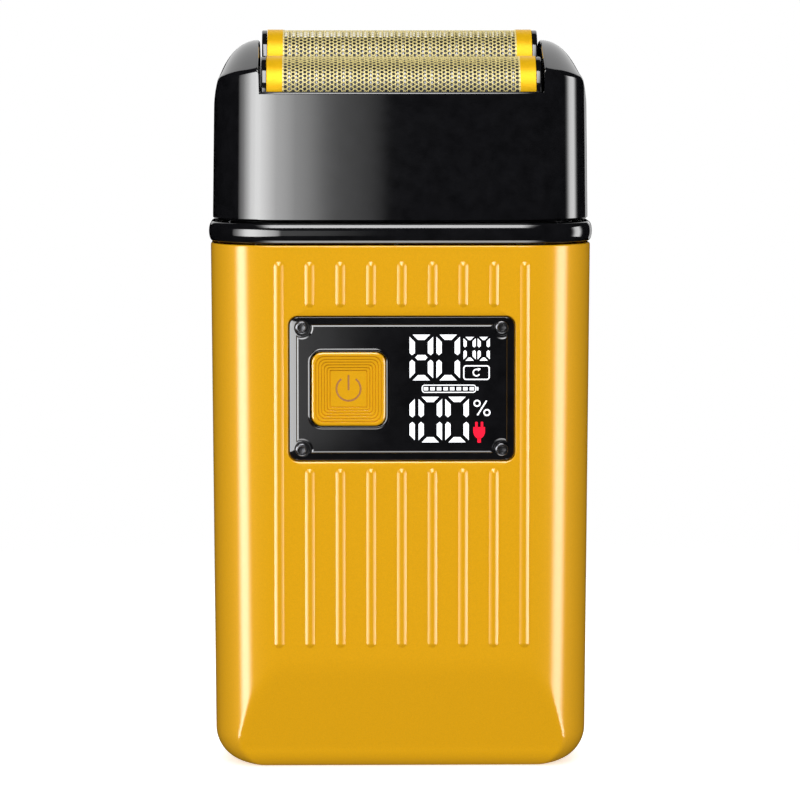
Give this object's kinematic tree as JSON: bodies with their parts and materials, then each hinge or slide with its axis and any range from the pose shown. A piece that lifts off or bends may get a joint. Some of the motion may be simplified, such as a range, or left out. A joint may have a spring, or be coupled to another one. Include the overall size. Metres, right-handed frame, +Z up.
{
  "type": "foil shaver",
  "caption": "Upright cordless foil shaver: ribbed golden handle with a black display panel and square button, black collar, and a pull-off head with floating arched foils.",
  "frame": {"origin": "middle of the base, on the surface the shaver stands on", "axes": "+Z up through the handle to the foils, -Y is the front with the display panel, +X is to the viewer's right"},
  "size_m": [0.0626, 0.032, 0.12],
  "materials": {
    "gold_paint": "satin metallic golden yellow",
    "gloss_black": "polished black",
    "display_white": "lit white figures",
    "matte_black": "moulded matt black",
    "black_steel": "blackened steel",
    "seal_rubber": "matt rubber",
    "circuit_board": "green solder mask",
    "natural_nylon": "natural moulded nylon",
    "cell_wrap": "blue film wrap",
    "lead_black": "insulated lead",
    "lead_red": "insulated lead",
    "bright_steel": "plain bright steel",
    "bronze": "sintered bronze",
    "gold_foil": "gold-coloured thin foil"
  },
  "bodies": {
    "handle": {"front_housing": "gold_paint", "rear_housing": "gold_paint", "display_panel": "gloss_black", "panel_gasket": "seal_rubber", "panel_screw_top_left": "black_steel", "panel_screw_top_right": "black_steel", "panel_screw_bottom_left": "black_steel", "panel_screw_bottom_right": "black_steel", "display_module": "display_white", "display_board": "circuit_board", "power_switch": "bright_steel", "display_ribbon": "natural_nylon", "chassis": "natural_nylon", "battery_cell": "cell_wrap", "main_board": "circuit_board", "usb_socket_shell": "bright_steel", "usb_socket_tongue": "matte_black", "usb_port_seal": "seal_rubber", "motor_can": "bright_steel", "motor_end_bell": "natural_nylon", "motor_bush": "bronze", "housing_screw_left": "black_steel", "housing_screw_right": "black_steel", "battery_lead_left": "lead_black", "battery_lead_right": "lead_red", "motor_lead_left": "lead_black", "motor_lead_right": "lead_red", "motor_screw_left": "bright_steel", "motor_screw_right": "bright_steel", "deck_screw_left": "bright_steel", "deck_screw_right": "bright_steel", "head_catch_left": "bright_steel", "head_catch_right": "bright_steel", "collar": "gloss_black", "deck": "matte_black", "deck_seal": "seal_rubber", "guide_rod_front": "bright_steel", "guide_rod_rear": "bright_steel"},
    "button": {"power_button": "gold_paint"},
    "rotor": {"motor_shaft": "bright_steel", "motor_armature": "bright_steel", "eccentric_cam": "natural_nylon"},
    "oscillator": {"drive_bridge": "natural_nylon", "drive_post_front": "bright_steel", "drive_post_rear": "bright_steel", "cutter_spring_front": "bright_steel", "cutter_spring_rear": "bright_steel"},
    "front_cutter": {"cutter_blades_front": "bright_steel", "cutter_carrier_front": "matte_black"},
    "rear_cutter": {"cutter_blades_rear": "bright_steel", "cutter_carrier_rear": "matte_black"},
    "head": {"head_shell": "gloss_black", "foil_retainer": "matte_black", "retainer_screw_left": "bright_steel", "retainer_screw_right": "bright_steel"},
    "front_foil": {"foil_front": "gold_foil", "foil_frame_front": "gloss_black"},
    "rear_foil": {"foil_rear": "gold_foil", "foil_frame_rear": "gloss_black"}
  },
  "joints": [
    {"name": "head_lift", "type": "slide", "parent": "handle", "child": "head", "axis": [0, 0, 1], "range_m": [0, 0.035]},
    {"name": "power_button_press", "type": "slide", "parent": "handle", "child": "button", "axis": [0, 1, 0], "range_m": [0, 0.0006], "stiffness_N_per_m": 1200, "springref_m": -0.001},
    {"name": "motor_spin", "type": "hinge", "parent": "handle", "child": "rotor", "pos_m": [0, 0.0015, 0.06], "axis": [0, 0, 1], "continuous": true},
    {"name": "oscillator_slide", "type": "slide", "parent": "handle", "child": "oscillator", "axis": [1, 0, 0], "range_m": [-0.0012, 0.0012]},
    {"name": "front_cutter_float", "type": "slide", "parent": "oscillator", "child": "front_cutter", "axis": [0, 0, 1], "range_m": [-0.0012, 0], "stiffness_N_per_m": 800, "springref_m": 0.001, "deforming": ["cutter_spring_front"]},
    {"name": "rear_cutter_float", "type": "slide", "parent": "oscillator", "child": "rear_cutter", "axis": [0, 0, 1], "range_m": [-0.0012, 0], "stiffness_N_per_m": 800, "springref_m": 0.001, "deforming": ["cutter_spring_rear"]},
    {"name": "front_foil_float", "type": "slide", "parent": "head", "child": "front_foil", "axis": [0, 0, 1], "range_m": [-0.0012, 0]},
    {"name": "rear_foil_float", "type": "slide", "parent": "head", "child": "rear_foil", "axis": [0, 0, 1], "range_m": [-0.0012, 0]}
  ],
  "couplings": [
    {"joint": "front_foil_float", "follows": "front_cutter_float", "ratio": 1},
    {"joint": "rear_foil_float", "follows": "rear_cutter_float", "ratio": 1}
  ]
}
